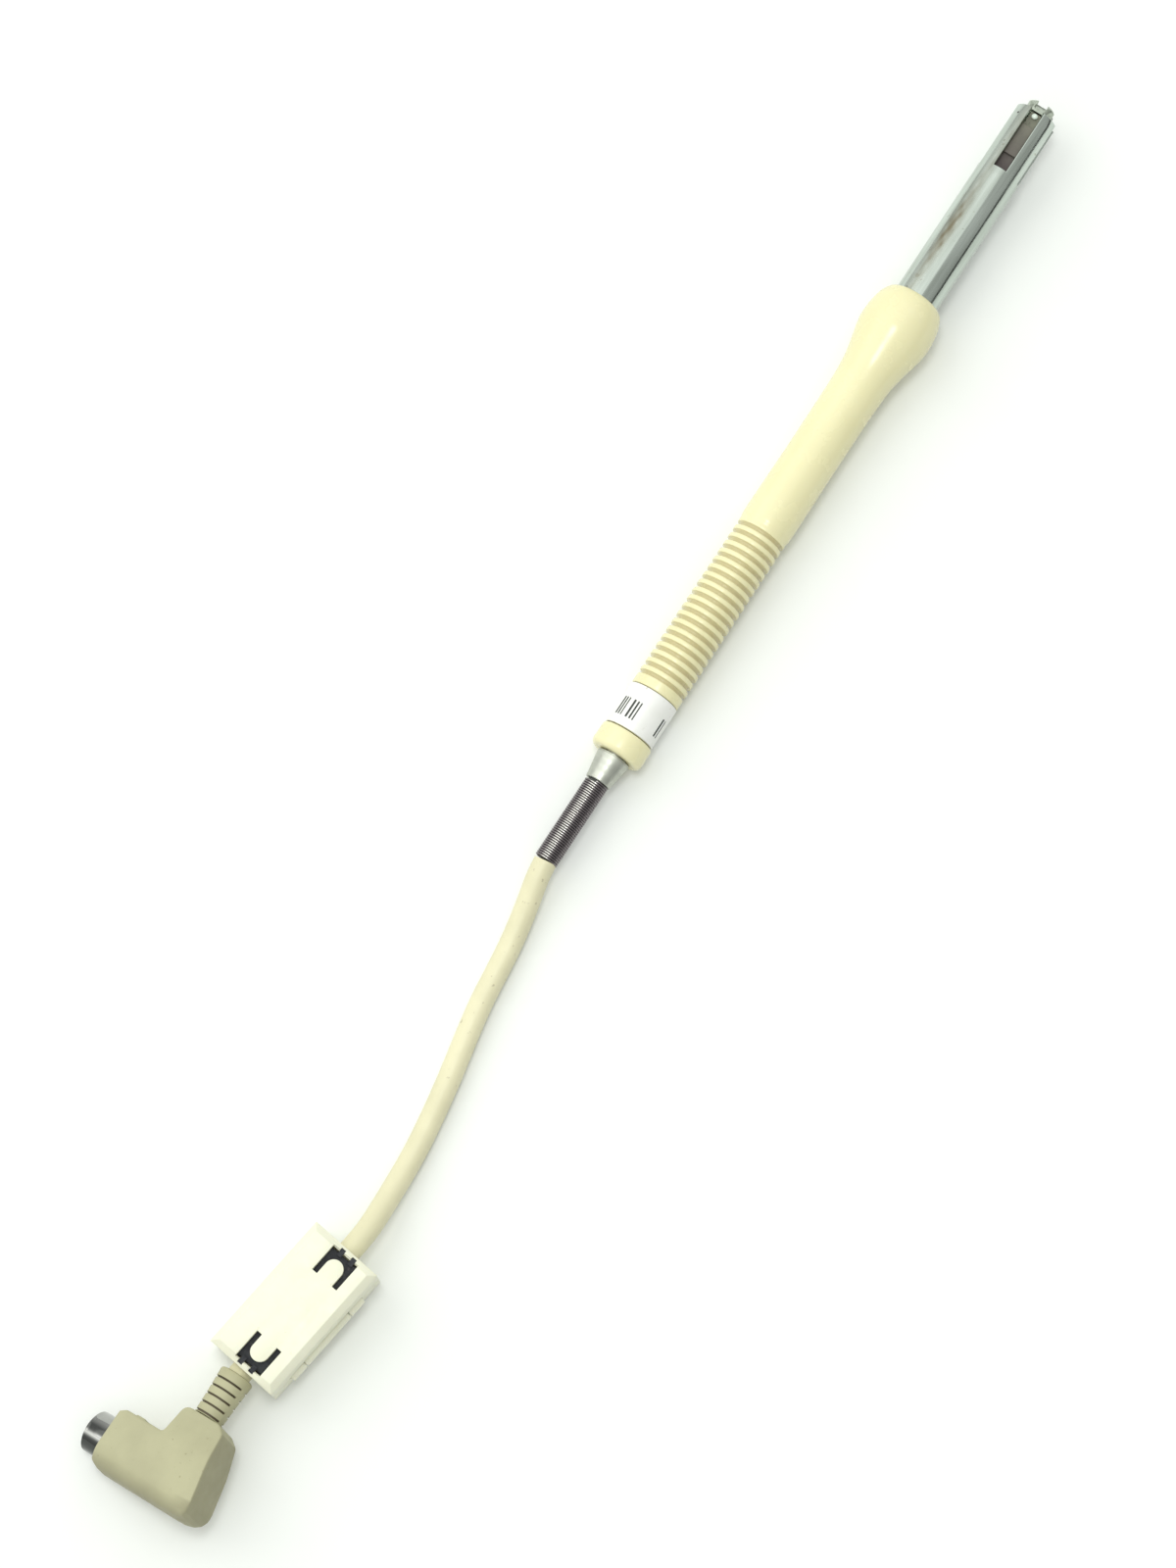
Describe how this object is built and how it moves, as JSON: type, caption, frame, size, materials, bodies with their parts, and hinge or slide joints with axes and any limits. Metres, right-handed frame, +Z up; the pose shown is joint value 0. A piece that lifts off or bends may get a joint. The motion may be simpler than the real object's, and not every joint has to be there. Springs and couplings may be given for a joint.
{
  "type": "handheld air sensor probe",
  "caption": "Slotted metal air-sensing tube on a ribbed, flared cream grip, with a coil strain relief, a short cable, a clip-on ferrite clamp and an angled round plug.",
  "frame": {"origin": "On the surface the probe lies on, under the middle of the probe from the coil's rear end to the tip, cable and plug not counted", "axes": "+X along the probe from the cable entry to the slotted tip, +Z up from the surface, +Y to the probe's left"},
  "size_m": [0.3665, 0.0347, 0.0213],
  "materials": {
    "guard_metal": "satin, tarnished",
    "cream_plastic": "semi-gloss moulded",
    "label_white": "satin printed sleeve",
    "nickel": "bright nickel plate",
    "spring_steel": "dark drawn wire",
    "cable_jacket": "satin flexible jacket",
    "cable_core": "satin",
    "clamp_plastic": "satin moulded",
    "ferrite": "sintered ceramic",
    "plug_plastic": "fine matt moulded",
    "plug_metal": "plated shell",
    "plug_black": "moulded insulator",
    "contact_gold": "flash gold plate",
    "sensor_laminate": "bare laminate",
    "sensor_element": "coated ceramic",
    "glass_bead": "fused glass",
    "dark_plastic": "matt",
    "seal_rubber": "matt",
    "green_laminate": "solder mask",
    "wire_insulation": "satin",
    "capacitor_body": "satin",
    "crimp_brass": "drawn"
  },
  "bodies": {
    "probe": {"guard_tube": "guard_metal", "guard_end_cap": "guard_metal", "sensor_board": "sensor_laminate", "humidity_element": "sensor_element", "thermistor_bead": "glass_bead", "sensor_carrier": "dark_plastic", "grip": "cream_plastic", "tube_seal": "seal_rubber", "label_sleeve": "label_white", "circuit_board": "green_laminate", "signal_chip": "plug_black", "wire_header": "clamp_plastic", "filter_capacitor": "capacitor_body", "rear_collar": "cream_plastic", "gland_cone": "nickel", "strain_spring": "spring_steel", "crimp_ferrule": "crimp_brass", "cable_core": "cable_core", "cable": "cable_jacket", "clamp_base": "clamp_plastic", "ferrite_lower": "ferrite", "plug_moulding": "plug_plastic", "plug_boot": "plug_plastic", "plug_shell": "plug_metal", "plug_insulator": "plug_black", "sensor_lead_1": "wire_insulation", "cable_wire_1": "wire_insulation", "sensor_lead_2": "wire_insulation", "cable_wire_2": "wire_insulation", "sensor_lead_3": "wire_insulation", "cable_wire_3": "wire_insulation", "sensor_lead_4": "wire_insulation", "cable_wire_4": "wire_insulation", "contact_pin_1": "contact_gold", "contact_pin_2": "contact_gold", "contact_pin_3": "contact_gold", "contact_pin_4": "contact_gold", "contact_pin_5": "contact_gold", "contact_pin_6": "contact_gold", "contact_pin_7": "contact_gold", "contact_pin_8": "contact_gold"},
    "clamp_lid": {"clamp_lid": "clamp_plastic", "ferrite_upper": "ferrite"}
  },
  "joints": [
    {"name": "clamp_lid_hinge", "type": "hinge", "parent": "probe", "child": "clamp_lid", "pos_m": [-0.21451, -0.01757, 0.0082], "axis": [0.9893, -0.1461, 0], "range_deg": [0, 110]}
  ]
}
